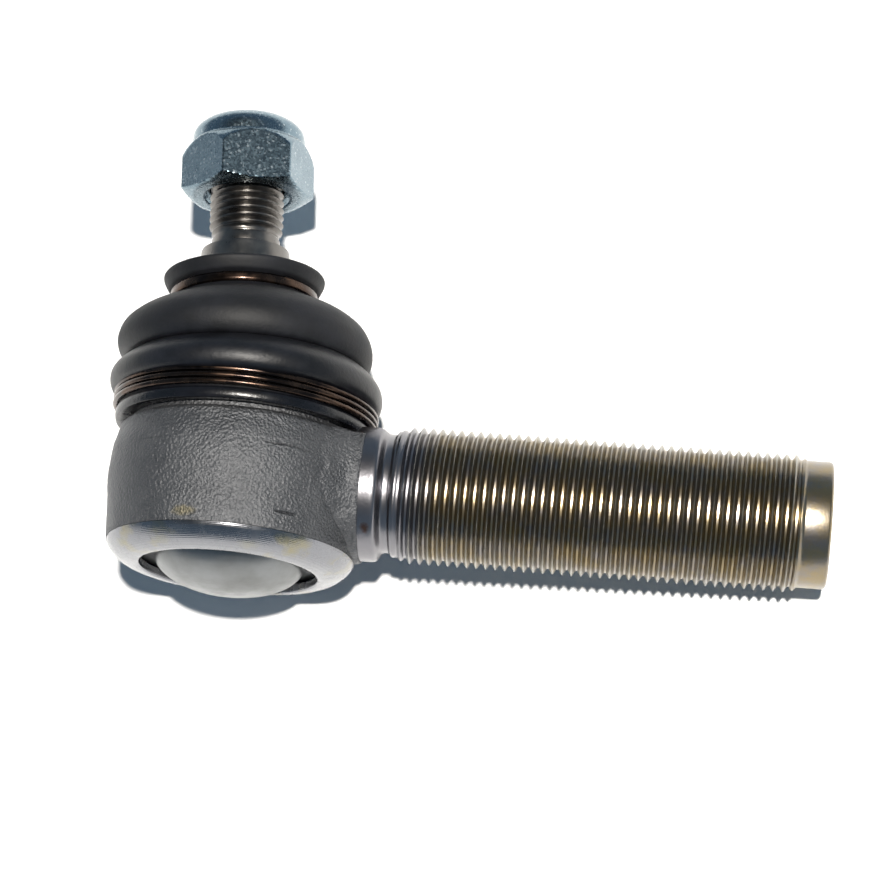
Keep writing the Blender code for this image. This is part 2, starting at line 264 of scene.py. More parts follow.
def node(tree, kind, links=None, **settings):
    """Adds a node. Settings are its own properties; links maps an input to a value or to another's output."""
    made = tree.nodes.new(kind)
    for key, value in settings.items():
        setattr(made, key, value)
    for key, value in (links or {}).items():
        socket = made.inputs[key]
        if isinstance(value, bpy.types.NodeSocket):
            tree.links.new(value, socket)
        else:
            socket.default_value = value
    return made


def new_finish(name, base, roughness, metallic=1.0, **more):
    """A named material with a Principled shader whose even values are set on its own sockets."""
    made = bpy.data.materials.get(name)
    if made is not None:
        return made, None, None
    made = bpy.data.materials.new(name)
    made.use_nodes = True
    tree = made.node_tree
    shader = tree.nodes["Principled BSDF"]
    shader.inputs["Base Color"].default_value = base
    shader.inputs["Roughness"].default_value = roughness
    shader.inputs["Metallic"].default_value = metallic
    for key, value in more.items():
        shader.inputs[key.replace("_", " ")].default_value = value
    return made, tree, shader


def own_axes(tree, place):
    """Object coordinates turned onto a piece's own axes, in metres from the ball's centre."""
    spot = node(tree, "ShaderNodeTexCoord").outputs["Object"]
    turn = place.to_3x3().normalized().to_euler()
    return node(
        tree,
        "ShaderNodeMapping",
        {"Vector": spot, "Location": place.translation, "Rotation": turn},
        vector_type="TEXTURE",
    ).outputs["Vector"]


def grain(tree, where, feature_mm, detail=4.0, roughness=0.6):
    """Noise whose patches are about this many millimetres across."""
    links = {"Vector": where, "Scale": 1 / (feature_mm * MM), "Detail": detail, "Roughness": roughness}
    return node(tree, "ShaderNodeTexNoise", links).outputs["Fac"]


def mix(tree, factor, one, two):
    """Blends two colours. The inputs go by number, because the node has several of each name."""
    return node(tree, "ShaderNodeMix", {0: factor, 6: one, 7: two}, data_type="RGBA").outputs[2]


def spread(tree, value, low, high, to_low, to_high):
    """Maps a value from one span to another and holds it at the ends."""
    links = {"Value": value, "From Min": low, "From Max": high, "To Min": to_low, "To Max": to_high}
    return node(tree, "ShaderNodeMapRange", links).outputs["Result"]


def maths(tree, operation, one, two=0.0):
    """One sum on two values."""
    return node(tree, "ShaderNodeMath", {0: one, 1: two}, operation=operation).outputs[0]


def spot_mask(tree, where, centre, reach):
    """1 at a place in millimetres on a piece's own axes, fading raggedly to 0 at this reach along each."""

    def vector(operation, one, two=(0.0, 0.0, 0.0)):
        return node(tree, "ShaderNodeVectorMath", {0: one, 1: two}, operation=operation).outputs

    near = vector("SUBTRACT", where, Vector(centre) * MM)["Vector"]
    near = vector("MULTIPLY", near, [1 / (part * MM) for part in reach])["Vector"]
    ragged = maths(tree, "SUBTRACT", grain(tree, where, 0.8, 3.0), 0.5)
    return spread(tree, maths(tree, "ADD", vector("LENGTH", near)["Value"], ragged), 0.45, 1.0, 1.0, 0.0)


def relief(tree, shader, *layers):
    """Bumps from (height, depth in millimetres) layers, chained into the shader's normal."""
    normal = None
    for height, depth_mm in layers:
        links = {"Height": height, "Distance": depth_mm * MM, "Strength": 1.0}
        if normal is not None:
            links["Normal"] = normal
        normal = node(tree, "ShaderNodeBump", links).outputs["Normal"]
    tree.links.new(normal, shader.inputs["Normal"])


def turning_lines(tree, where, axis, pitch_mm):
    """Fine rings left by a lathe tool, across the given axis."""
    return node(
        tree,
        "ShaderNodeTexWave",
        {"Vector": where, "Scale": WAVE_PERIOD / (pitch_mm * MM), "Distortion": 0.6, "Detail": 2.0},
        wave_type="BANDS",
        bands_direction=axis,
    ).outputs["Fac"]


# ---------------- finishes


def blasted_forging():
    """Shot-blasted forged steel under a film of oil: dark, with a tightly hammered sparkle.

    The shot leaves dents of about 0.5 mm. A dark line is the lap of the forging dies.
    """
    made, tree, shader = new_finish("Blasted forged steel", hue("forging"), 0.42, 0.85)
    if tree is None:
        return made
    spot = own_axes(tree, SOCKET)
    links = {"Vector": spot, "Scale": 1 / (0.5 * MM), "Smoothness": 0.3}
    dents = node(tree, "ShaderNodeTexVoronoi", links, feature="SMOOTH_F1").outputs["Distance"]
    patches = grain(tree, spot, 9.0, 3.0)
    fine = grain(tree, spot, 0.26, 2.0, 0.65)
    tone = mix(tree, patches, tint("3d3e41"), hue("forging"))
    split = node(tree, "ShaderNodeSeparateXYZ", {"Vector": spot})
    ripple = grain(tree, spot, 6.0, 2.0)
    height = maths(tree, "ADD", split.outputs["Y"], maths(tree, "MULTIPLY", ripple, 0.0008))
    away = maths(tree, "ABSOLUTE", maths(tree, "SUBTRACT", height, 0.0021))
    lap = spread(tree, away, 0.00008, 0.00022, 1.0, 0.0)
    worn = spread(tree, grain(tree, spot, 14.0, 1.0), 0.45, 0.6, 0.0, 1.0)
    lap = maths(tree, "MULTIPLY", lap, worn)
    tone = mix(tree, maths(tree, "MULTIPLY", lap, 0.6), tone, tint("141416"))
    oil = maths(tree, "MULTIPLY", spot_mask(tree, spot, (-4.8, -9.9, 19.0), (2.2, 1.0, 3.0)), 0.35)
    tone = mix(tree, oil, tone, tint("7d7040"))
    gouge = spot_mask(tree, spot, (10.4, -8.6, 17.0), (1.9, 0.28, 3.5))
    tone = mix(tree, maths(tree, "MULTIPLY", gouge, 0.7), tone, tint("202022"))
    tree.links.new(tone, shader.inputs["Base Color"])
    gloss = spread(tree, patches, 0.3, 0.7, 0.44, 0.56)
    tree.links.new(gloss, shader.inputs["Roughness"])
    relief(tree, shader, (dents, 0.15), (fine, 0.15), (lap, -0.1), (gouge, -0.2))
    return made


def turned_rim():
    """Turned steel rolled over the cap: bright, with fine tool rings and faint oil stains."""
    made, tree, shader = new_finish("Turned steel rim", hue("rim"), 0.24)
    if tree is None:
        return made
    spot = own_axes(tree, SOCKET)
    links = {"Vector": spot, "Scale": WAVE_PERIOD / (0.24 * MM), "Distortion": 0.4, "Detail": 1.0}
    rings = node(tree, "ShaderNodeTexWave", links, wave_type="RINGS", rings_direction="Y").outputs["Fac"]
    lines = turning_lines(tree, spot, "Y", 0.22)
    stain = spread(tree, grain(tree, spot, 7.0, 4.0), 0.56, 0.7, 0.0, 0.5)
    tone = mix(tree, stain, hue("rim"), tint("8a8050"))
    for x, y, z in ((-15.0, -13.2, 9.0), (-8.0, -13.6, 14.5), (5.0, -13.7, 15.5)):
        drip = maths(tree, "MULTIPLY", spot_mask(tree, spot, (x, y, z), (2.2, 0.8, 2.5)), 0.2)
        tone = mix(tree, drip, tone, tint("8f8a5a"))
    tree.links.new(tone, shader.inputs["Base Color"])
    tree.links.new(spread(tree, grain(tree, spot, 2.5), 0.3, 0.7, 0.2, 0.32), shader.inputs["Roughness"])
    relief(tree, shader, (rings, 0.004), (lines, 0.012), (grain(tree, spot, 1.2, 2.0), 0.008))
    return made


def cut_thread():
    """Turned and cut steel: glossy, with amber oil in the thread, a rust spot and crests painted lighter than
    the valleys as a painted highlight.
    """
    made, tree, shader = new_finish("Cut thread steel", hue("shank"), 0.3)
    if tree is None:
        return made
    spot = own_axes(tree, SOCKET)
    split = node(tree, "ShaderNodeSeparateXYZ", {"Vector": spot})
    squares = [maths(tree, "MULTIPLY", split.outputs[part], split.outputs[part]) for part in "YZ"]
    radius = maths(tree, "SQRT", maths(tree, "ADD", *squares))
    threaded = spread(tree, split.outputs["X"], 0.0252, 0.0256, 0.0, 1.0)
    # The crests are painted lighter than the valleys: a painted highlight along each crest of the thread.
    crest = maths(tree, "MULTIPLY", spread(tree, radius, 0.01062, 0.0108, 0.0, 1.0), threaded)
    oiled = spread(tree, split.outputs["X"], 0.0285, 0.032, 0.0, 1.0)
    pools = spread(tree, grain(tree, spot, 4.0, 5.0, 0.7), 0.34, 0.6, 0.15, 0.6)
    oil = maths(tree, "MULTIPLY", pools, oiled)
    tone = mix(tree, oil, hue("shank"), tint("8d7a48"))
    rust = spot_mask(tree, spot, (21.6, -7.6, 7.4), (0.9, 0.9, 1.4))
    tone = mix(tree, maths(tree, "MULTIPLY", rust, 0.8), tone, tint("5d3a22"))
    # Painted highlight: the crests take a lighter steel colour than the valleys.
    tone = mix(tree, crest, tone, tint("96958f"))
    tree.links.new(tone, shader.inputs["Base Color"])
    tree.links.new(spread(tree, crest, 0.0, 1.0, 0.3, 0.34), shader.inputs["Roughness"])
    lines = turning_lines(tree, spot, "X", 0.22)
    relief(tree, shader, (lines, 0.002), (grain(tree, spot, 0.7, 3.0), 0.02))
    return made


def pressed_cap():
    """Pressed steel sheet: satin, with a faint orange peel and a dull smudge."""
    made, tree, shader = new_finish("Pressed steel cap", hue("cap"), 0.4)
    if tree is None:
        return made
    spot = own_axes(tree, SOCKET)
    smudge = spread(tree, grain(tree, spot, 6.0, 4.0), 0.4, 0.7, 0.0, 0.5)
    tone = mix(tree, smudge, hue("cap"), tint("686865"))
    tree.links.new(tone, shader.inputs["Base Color"])
    tree.links.new(spread(tree, smudge, 0.0, 0.5, 0.34, 0.5), shader.inputs["Roughness"])
    relief(tree, shader, (grain(tree, spot, 0.5, 3.0), 0.012), (grain(tree, spot, 3.0, 2.0), 0.02))
    return made


def turned_stud():
    """Ground taper and rolled thread: warm grey steel with fine rings round the stud."""
    made, tree, shader = new_finish("Ground stud steel", hue("stud"), 0.3)
    if tree is None:
        return made
    spot = own_axes(tree, STUD)
    lines = turning_lines(tree, spot, "Y", 0.18)
    patch = grain(tree, spot, 3.0, 4.0)
    tone = mix(tree, patch, tint("514e4c"), hue("stud"))
    tree.links.new(tone, shader.inputs["Base Color"])
    tree.links.new(spread(tree, patch, 0.3, 0.7, 0.26, 0.38), shader.inputs["Roughness"])
    relief(tree, shader, (lines, 0.008), (grain(tree, spot, 0.6, 3.0), 0.012))
    return made


def zinc_plating():
    """Bright zinc plating with blue passivate: cool grey, with a crystal speckle whose brightest crystals are
    painted near-white as glints.

    The real crystals are finer than 0.1 mm. They are drawn 0.28 mm wide, so that they show.
    """
    made, tree, shader = new_finish("Blue zinc plating", hue("zinc"), 0.3)
    if tree is None:
        return made
    spot = own_axes(tree, STUD)
    links = {"Vector": spot, "Scale": 1 / (0.28 * MM)}
    crystals = node(tree, "ShaderNodeTexVoronoi", links, feature="F1").outputs["Color"]
    sparkle = node(tree, "ShaderNodeSeparateColor", {"Color": crystals}).outputs["Red"]
    # The brightest crystals are painted near-white: painted glints.
    painted_glint = spread(tree, sparkle, 0.9, 1.0, 0.0, 0.3)
    film = grain(tree, spot, 4.0, 3.0)
    tone = mix(tree, film, tint("5a6d79"), hue("zinc"))
    tone = mix(tree, painted_glint, tone, tint("eef4f8"))
    tree.links.new(tone, shader.inputs["Base Color"])
    tree.links.new(spread(tree, sparkle, 0.0, 1.0, 0.2, 0.32), shader.inputs["Roughness"])
    relief(tree, shader, (grain(tree, spot, 0.3, 3.0), 0.004), (grain(tree, spot, 2.5, 2.0), 0.015))
    return made


def bronzed_wire():
    """Drawn spring wire with a bronze-coloured coat: brown-black, with warm glints."""
    made, tree, shader = new_finish("Bronzed spring wire", hue("bronze"), 0.26)
    if tree is None:
        return made
    spot = own_axes(tree, SOCKET)
    wear = spread(tree, grain(tree, spot, 3.5, 4.0), 0.35, 0.75, 0.0, 1.0)
    tone = mix(tree, wear, tint("2b2422"), hue("bronze"))
    tree.links.new(tone, shader.inputs["Base Color"])
    tree.links.new(spread(tree, wear, 0.0, 1.0, 0.22, 0.34), shader.inputs["Roughness"])
    relief(tree, shader, (grain(tree, spot, 0.4, 2.0), 0.006))
    return made


def moulded_rubber():
    """Moulded chloroprene: blue-black satin, wiped glossy at the foot and duller on the upper fold."""
    gloss = {"IOR": 1.52, "Specular_IOR_Level": 0.32}
    made, tree, shader = new_finish("Moulded boot rubber", hue("rubber"), 0.5, 0.0, **gloss)
    if tree is None:
        return made
    spot = own_axes(tree, SOCKET)
    bloom = spread(tree, grain(tree, spot, 8.0, 5.0, 0.65), 0.42, 0.7, 0.0, 1.0)
    tone = mix(tree, bloom, tint("07080c"), hue("rubber"))
    tree.links.new(tone, shader.inputs["Base Color"])
    height = node(tree, "ShaderNodeSeparateXYZ", {"Vector": spot}).outputs["Y"]
    wiped = spread(tree, height, 0.0092, 0.0098, 0.26, 0.4)
    dull = spread(tree, height, 0.0175, 0.0205, 0.0, 0.2)
    rough = maths(tree, "ADD", maths(tree, "ADD", wiped, dull), maths(tree, "MULTIPLY", bloom, 0.08))
    tree.links.new(rough, shader.inputs["Roughness"])
    relief(tree, shader, (grain(tree, spot, 0.5, 4.0), 0.035), (grain(tree, spot, 2.6, 3.0), 0.06))
    return made


def moulded_plastic(name, key, feature_mm):
    """Moulded acetal or nylon: pale and slightly waxy, with a faint flow pattern."""
    made, tree, shader = new_finish(name, hue(key), 0.38, 0.0, IOR=1.5)
    if tree is None:
        return made
    spot = own_axes(tree, SOCKET)
    flow = grain(tree, spot, feature_mm, 3.0)
    tree.links.new(spread(tree, flow, 0.3, 0.7, 0.32, 0.46), shader.inputs["Roughness"])
    darker = tuple(0.8 * c for c in hue(key)[:3]) + (1.0,)
    tree.links.new(mix(tree, flow, darker, hue(key)), shader.inputs["Base Color"])
    relief(tree, shader, (grain(tree, spot, 0.5, 2.0), 0.01))
    return made


def tempered_spring():
    """Oil-tempered spring steel: blue-grey, satin."""
    made, tree, shader = new_finish("Tempered spring steel", tint("63666d"), 0.36)
    if tree is None:
        return made
    spot = own_axes(tree, SOCKET)
    scale = grain(tree, spot, 1.8, 4.0)
    tone = mix(tree, scale, tint("4b4f58"), tint("7d7f84"))
    tree.links.new(tone, shader.inputs["Base Color"])
    relief(tree, shader, (grain(tree, spot, 0.4, 2.0), 0.008))
    return made


# ---------------- screw thread by Geometry Nodes


def new_tree(name, kinds):
    """A Geometry Nodes tree with a mesh output and inputs of these kinds."""
    tree = bpy.data.node_groups.new(name, "GeometryNodeTree")
    tree.interface.new_socket("Geometry", in_out="OUTPUT", socket_type="NodeSocketGeometry")
    for key, kind in kinds.items():
        tree.interface.new_socket(key, in_out="INPUT", socket_type="NodeSocket" + kind)
    return tree, node(tree, "NodeGroupInput").outputs


def coated_tree(tree, last, given):
    """Ends a tree after its last node with the real mesh in its finish."""
    real = node(tree, "GeometryNodeRealizeInstances", {"Geometry": last.outputs[0]}).outputs["Geometry"]
    coated = node(tree, "GeometryNodeSetMaterial", {"Geometry": real, "Material": given["Finish"]})
    node(tree, "NodeGroupOutput", {"Geometry": coated.outputs["Geometry"]})
    return tree


def thread_tree():
    """A helical thread as one surface: a sheet of points rolled round X, one row every part of a pitch.

    Each column starts a share of a pitch further on, so the ridges climb as they go round, and the
    sheet's two long edges meet one pitch apart. Both ends are held on a plain circle.
    """
    tree = bpy.data.node_groups.get("Screw thread")
    if tree is not None:
        return tree
    floats = ("Start", "Stop", "Pitch", "Root", "Crest", "Hand", "Run-out", "Burrs", "Seed")
    kinds = dict.fromkeys(floats, "Float") | dict.fromkeys(("Rows a pitch", "Rows", "Columns"), "Int")
    tree, given = new_tree("Screw thread", kinds | {"Finish": "Material"})

    def sum_of(operation, one, two=0.0, three=0.0):
        links = {0: one, 1: two, 2: three}
        return node(tree, "ShaderNodeMath", links, operation=operation).outputs[0]

    sheet = node(
        tree,
        "GeometryNodeMeshGrid",
        {"Size X": 1.0, "Size Y": 1.0, "Vertices X": given["Columns"], "Vertices Y": given["Rows"]},
    ).outputs["Mesh"]
    place = node(tree, "GeometryNodeInputPosition").outputs["Position"]
    parts = node(tree, "ShaderNodeSeparateXYZ", {"Vector": place})
    around = sum_of("ADD", parts.outputs["X"], 0.5)
    last_row = sum_of("SUBTRACT", given["Rows"], 1.0)
    row = sum_of("ROUND", sum_of("MULTIPLY", sum_of("ADD", parts.outputs["Y"], 0.5), last_row))
    turns = sum_of("SUBTRACT", sum_of("ADD", sum_of("DIVIDE", row, given["Rows a pitch"]), around), 1.0)
    raw = sum_of("MULTIPLY_ADD", turns, given["Pitch"], given["Start"])
    along = sum_of("MINIMUM", sum_of("MAXIMUM", raw, given["Start"]), given["Stop"])
    # A hair is added to the row, so that rounding never drops a crest into the pitch before it.
    share = sum_of("FRACT", sum_of("DIVIDE", sum_of("ADD", row, 0.001), given["Rows a pitch"]))
    ridge = sum_of("SUBTRACT", 1.0, sum_of("ABSOLUTE", sum_of("MULTIPLY_ADD", share, 2.0, -1.0)))
    shape = node(
        tree,
        "ShaderNodeMapRange",
        {"Value": ridge, "From Min": 0.22, "From Max": 0.95, "To Min": 0.0, "To Max": 1.0},
    ).outputs["Result"]
    rise_in = sum_of("DIVIDE", sum_of("SUBTRACT", along, given["Start"]), given["Run-out"])
    rise_out = sum_of("DIVIDE", sum_of("SUBTRACT", given["Stop"], along), given["Pitch"])
    rise = sum_of("MINIMUM", sum_of("MINIMUM", rise_in, rise_out), 1.0)
    angle = sum_of("MULTIPLY", sum_of("MULTIPLY", around, math.tau), given["Hand"])
    across, out = sum_of("COSINE", angle), sum_of("SINE", angle)

    def around_axis(reach):
        links = {"X": along, "Y": sum_of("MULTIPLY", across, reach), "Z": sum_of("MULTIPLY", out, reach)}
        return node(tree, "ShaderNodeCombineXYZ", links).outputs["Vector"]

    rough = node(
        tree,
        "ShaderNodeTexNoise",
        {"Vector": around_axis(9.0), "W": given["Seed"], "Scale": 0.9, "Detail": 3.0},
        noise_dimensions="4D",
    ).outputs["Fac"]
    uneven = sum_of("MULTIPLY", sum_of("SUBTRACT", rough, 0.5), given["Burrs"])
    depth = sum_of("ADD", sum_of("SUBTRACT", given["Crest"], given["Root"]), uneven)
    tall = sum_of("MULTIPLY", sum_of("MULTIPLY", shape, rise), depth)
    radius = sum_of("ADD", given["Root"], tall)
    rolled = node(tree, "GeometryNodeSetPosition", {"Geometry": sheet, "Position": around_axis(radius)})
    joined = node(
        tree, "GeometryNodeMergeByDistance", {"Geometry": rolled.outputs["Geometry"], "Distance": 0.0005}
    )
    return coated_tree(tree, joined, given)


def wire_tree():
    """A round wire wound into a helix about Z, one turn a pitch apart."""
    tree = bpy.data.node_groups.get("Wound wire")
    if tree is not None:
        return tree
    kinds = dict.fromkeys(("Turns", "Pitch", "Coil radius", "Wire radius"), "Float")
    tree, given = new_tree("Wound wire", kinds | {"Points a turn": "Int", "Finish": "Material"})
    height = node(tree, "ShaderNodeMath", {0: given["Turns"], 1: given["Pitch"]}, operation="MULTIPLY")
    helix = node(
        tree,
        "GeometryNodeCurveSpiral",
        {
            "Resolution": given["Points a turn"],
            "Rotations": given["Turns"],
            "Start Radius": given["Coil radius"],
            "End Radius": given["Coil radius"],
            "Height": height.outputs[0],
        },
    ).outputs["Curve"]
    section = node(
        tree, "GeometryNodeCurvePrimitiveCircle", {"Resolution": 16, "Radius": given["Wire radius"]}
    ).outputs["Curve"]
    solid = node(
        tree, "GeometryNodeCurveToMesh", {"Curve": helix, "Profile Curve": section, "Fill Caps": True}
    )
    return coated_tree(tree, solid, given)


def mesh_from_tree(tree, values):
    """Runs a Geometry Nodes tree on an empty mesh and returns the result as a bmesh."""
    carrier = bpy.data.objects.new("carrier", bpy.data.meshes.new("carrier"))
    bpy.context.scene.collection.objects.link(carrier)
    modifier = carrier.modifiers.new("Nodes", "NODES")
    modifier.node_group = tree
    for item in tree.interface.items_tree:
        if item.in_out == "INPUT":
            modifier[item.identifier] = values[item.name]
    graph = bpy.context.evaluated_depsgraph_get()
    graph.update()
    mesh = bpy.data.meshes.new_from_object(carrier.evaluated_get(graph))
    carrier.modifiers.remove(modifier)
    bpy.data.objects.remove(carrier)
    bm = bmesh.new()
    bm.from_mesh(mesh)
    bpy.data.meshes.remove(mesh)
    return bm


def screw(start, stop, pitch, root, crest, hand, run_out, burrs, columns, finish):
    """A thread between two heights. It rises from its root over the run-out, and burrs make it uneven."""
    rows_a_pitch = 10
    return mesh_from_tree(
        thread_tree(),
        {
            "Start": start,
            "Stop": stop,
            "Pitch": pitch,
            "Root": root,
            "Crest": crest,
            "Hand": hand,
            "Run-out": run_out,
            "Burrs": burrs,
            "Rows a pitch": rows_a_pitch,
            "Rows": int(rows_a_pitch * ((stop - start) / pitch + 2)) + 2,
            "Columns": columns + 1,
            "Seed": 4.0,
            "Finish": finish,
        },
    )


def add_mesh(bm, other):
    """Adds another bmesh's faces to this one."""
    mesh = bpy.data.meshes.new("joined")
    other.to_mesh(mesh)
    other.free()
    bm.from_mesh(mesh)
    bpy.data.meshes.remove(mesh)
    return bm


# ---------------- pieces


class TIEROD_OT_forging(bpy.types.Operator):
    """Forged barrel of the socket and the flare that meets the shank, with their hammered skin"""

    bl_idname = "tierod.forging"
    bl_label = "Forged barrel"

    def execute(self, context):
        s = sizes()
        wide, rim = s["barrel_radius"], s["rim_top"]
        outer = smooth_outline(
            [
                (wide - 0.85, rim),
                (wide - 0.55, -7.5),
                (wide - 0.02, -2.0),
                (wide, 0.5),
                (wide - 0.2, 3.0),
                (wide - 0.7, 5.2),
                (wide - 1.0, 6.6),
                (wide - 1.5, 7.2),
            ]
        )
        inner = [(18.0, 7.4), (18.0, 12.1), (17.6, 12.5), (13.9, 12.5), (11.4, 7.6), (15.5, 7.6), (15.5, rim)]
        bm = turned(split_long(outer + inner, 0.4), 320)
        for vert in bm.verts:
            radius = math.hypot(vert.co.x, vert.co.z)
            if radius > 18.2 and rim + 0.1 < vert.co.y < FORGED_TOP:
                lumps = noise.noise(vert.co * 0.22) * 0.12 + noise.noise(vert.co * 0.8) * 0.05
                pocks = noise.noise(vert.co * 2.1 + Vector((7, 3, 1))) * 0.022
                vert.co.x *= 1 + (lumps + pocks) / radius
                vert.co.z *= 1 + (lumps + pocks) / radius
        flare = [(0.0, 14.0), (14.6, 14.0), (13.6, 15.9), (12.5, 17.2), (11.8, 18.4), (11.45, 19.6)]
        flare += [(11.4, 20.1), (11.25, 20.4), (10.8, 20.45), (0.0, 20.45)]
        flare = turned(split_long(flare, 0.4, False), 200, False, "X")
        for vert in flare.verts:
            vert.co.y = min(vert.co.y, FORGED_TOP)
            radius = math.hypot(vert.co.y, vert.co.z)
            if radius > 11:
                lumps = noise.noise(vert.co * 0.5) * 0.2
                pocks = noise.noise(vert.co * 2.1) * 0.05
                vert.co.y *= 1 + (lumps + pocks) / radius
                vert.co.z *= 1 + (lumps + pocks) / radius
        bm = add_mesh(bm, flare)
        made = piece_from("forged_barrel", bm, SOCKET, blasted_forging(), sharp=50)
        finish_piece(made, "housing_body", "forged_steel", "housing")
        return {"FINISHED"}


class TIEROD_OT_rim(bpy.types.Operator):
    """Machined rim, rolled in over the end cap"""

    bl_idname = "tierod.rim"
    bl_label = "Rolled rim"

    def execute(self, context):
        s = sizes()
        top = s["rim_top"]
        lip = smooth_outline(
            [
                (s["barrel_radius"] - 0.95, top - 0.06),
                (s["barrel_radius"] - 1.25, top - 0.75),
                (s["barrel_radius"] - 2.1, top - 1.75),
                (17.3, -13.95),
                (15.9, -14.45),
                (14.6, -14.64),
                (14.15, -14.5),
                (14.05, -14.1),
            ]
        )
        inner = [(14.1, -13.3), (14.5, -12.95), (15.5, -12.85), (15.5, top - 0.06)]
        bm = turned(split_long(lip + inner, 0.6), 240)
        made = piece_from("rolled_rim", bm, SOCKET, turned_rim(), sharp=40)
        finish_piece(made, "housing_body", "forged_steel")
        return {"FINISHED"}


class TIEROD_OT_shank(bpy.types.Operator):
    """Machined shank with its left-hand thread"""

    bl_idname = "tierod.shank"
    bl_label = "Threaded shank"

    def execute(self, context):
        s = sizes()
        columns, finish = 144, cut_thread()
        root, start, stop = s["shank_root"], s["shank_start"], s["shank_stop"]
        thread = screw(
            start, stop, s["shank_pitch"], root, s["shank_crest"], LEFT_HAND, 2.4, 0.12, columns, finish
        )
        neck = smooth_outline(
            [
                (0.0, 15.0),
                (0.0, 15.0),
                (10.95, 15.0),
                (10.95, 15.0),
                (10.95, 21.2),
                (10.9, 22.5),
                (10.65, 23.0),
                (9.95, 23.45),
                (9.5, 23.8),
                (9.4, 24.2),
                (9.4, 24.2),
                (9.42, 24.8),
                (9.6, 25.05),
                (root, start),
            ],
            4,
        )
        tip = [(root, stop), (root, 92.7), (root - 0.12, 93.05), (root - 0.45, 93.3)]
        tip += [(root - 4.0, 93.3), (0.0, 93.3)]
        flank = turned(split_long(neck, 1.2, False), columns, False, "X")
        for vert in flank.verts:
            if vert.co.x < 23.9:
                vert.co.y = min(vert.co.y, FLANK_TOP)
        bm = add_mesh(thread, flank)
        add_mesh(bm, turned(tip, columns, False, "X"))
        made = piece_from("threaded_shank", bm, SOCKET, finish, sharp=28)
        finish_piece(made, "housing_body", "forged_steel")
        return {"FINISHED"}


class TIEROD_OT_cap(bpy.types.Operator):
    """Pressed end cap: flange, curved foot and shallow dome"""

    bl_idname = "tierod.cap"
    bl_label = "End cap"

    def execute(self, context):
        dome = bowl(12.0, 5.75, -12.35, range(0, 82, 2))
        foot = [(12.25, -12.95), (12.75, -12.65), (13.4, -12.62), (15.2, -12.62)]
        back = [(15.2, -11.45), (12.6, -11.45)]
        inside = bowl(10.9, 5.1, -11.8, range(80, 0, -4))
        bm = turned(split_long(dome + foot + back + inside + [(0.0, -16.9)], 0.9), 160)
        made = piece_from("pressed_cap", bm, SOCKET, pressed_cap(), sharp=50)
        finish_piece(made, "housing_body", "cap_steel", "end_cap")
        return {"FINISHED"}


class TIEROD_OT_inside(bpy.types.Operator):
    """Seats and disc spring inside the socket"""

    bl_idname = "tierod.inside"
    bl_label = "Seats and spring"

    def execute(self, context):
        acetal = moulded_plastic("Moulded acetal", "acetal", 3.0)
        finishes = {"upper_seat": acetal, "lower_seat": acetal, "disc_spring": tempered_spring()}
        for name, finish in finishes.items():
            mesh = frame["nodes"][name].data
            mesh.materials.clear()
            mesh.materials.append(finish)
        return {"FINISHED"}


def bent_boot(outline, steps):
    """Turns a boot outline and bends it from the socket's axis to the stud's, as the CAD boot is."""
    bm = turned(outline, steps)
    foot, neck = BOOT_BEND
    for vert in bm.verts:
        share = min(max((vert.co.y - foot) / (neck - foot), 0.0), 1.0)
        vert.co.rotate(Matrix.Rotation(LEAN * share * share * (3 - 2 * share), 3, "Z"))
    return bm


class TIEROD_OT_boot(bpy.types.Operator):
    """Rubber boot: a lower fold and an upper fold, bent from the socket's axis to the stud's"""

    bl_idname = "tierod.boot"
    bl_label = "Boot"

    def execute(self, context):
        bulge = sizes()["boot_bulge"]
        lower = smooth_outline(
            [
                (18.35, 8.15),
                (20.15, 7.95),
                (20.5, 8.2),
                (20.62, 8.8),
                (20.55, 9.45),
                (20.3, 9.7),
                (20.25, 10.6),
                (20.25, 12.4),
                (20.5, 12.75),
                (20.9, 12.95),
                (21.5, 13.6),
                (bulge, 14.8),
                (21.6, 16.1),
                (20.8, 17.3),
                (19.7, 18.3),
                (18.95, 18.85),
                (18.95, 18.85),
                (18.3, 19.0),
                (18.1, 18.6),
                (19.2, 16.8),
                (19.8, 15.2),
                (19.4, 13.7),
                (18.35, 13.0),
                (18.35, 12.0),
                (18.35, 8.15),
            ],
            5,
        )[:-1]
        upper = smooth_outline(
            [
                (18.92, 18.91),
                (18.92, 18.91),
                (19.55, 19.35),
                (20.2, 20.5),
                (20.45, 21.9),
                (20.25, 23.3),
                (19.4, 25.0),
                (17.7, 26.5),
                (15.6, 27.7),
                (13.6, 28.55),
                (12.2, 29.2),
                (11.4, 29.8),
                (11.05, 30.5),
                (11.1, 31.35),
                (11.6, 31.65),
                (12.2, 31.95),
                (12.6, 32.6),
                (12.95, 33.4),
                (12.95, 33.9),
                (12.5, 34.15),
                (11.0, 33.9),
                (9.0, 33.7),
                (8.0, 33.6),
                (7.75, 33.2),
                (8.0, 31.0),
                (8.6, 29.2),
                (10.8, 28.1),
                (14.6, 26.6),
                (17.2, 24.4),
                (18.4, 22.0),
                (18.0, 20.2),
                (18.2, 19.2),
                (18.92, 18.91),
            ],
            5,
        )[:-1]
        for name, outline, start, end in (
            ("boot_lower_fold", lower, ("housing_body", 13.0), ("boot_body", 29.0)),
            ("boot_upper_fold", upper, ("boot_body", 13.0), ("ring_body", 29.0)),
        ):
            made = piece_from(name, bent_boot(outline, 200), SOCKET, moulded_rubber(), sharp=55)
            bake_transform(made)
            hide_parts("boot")
        return {"FINISHED"}


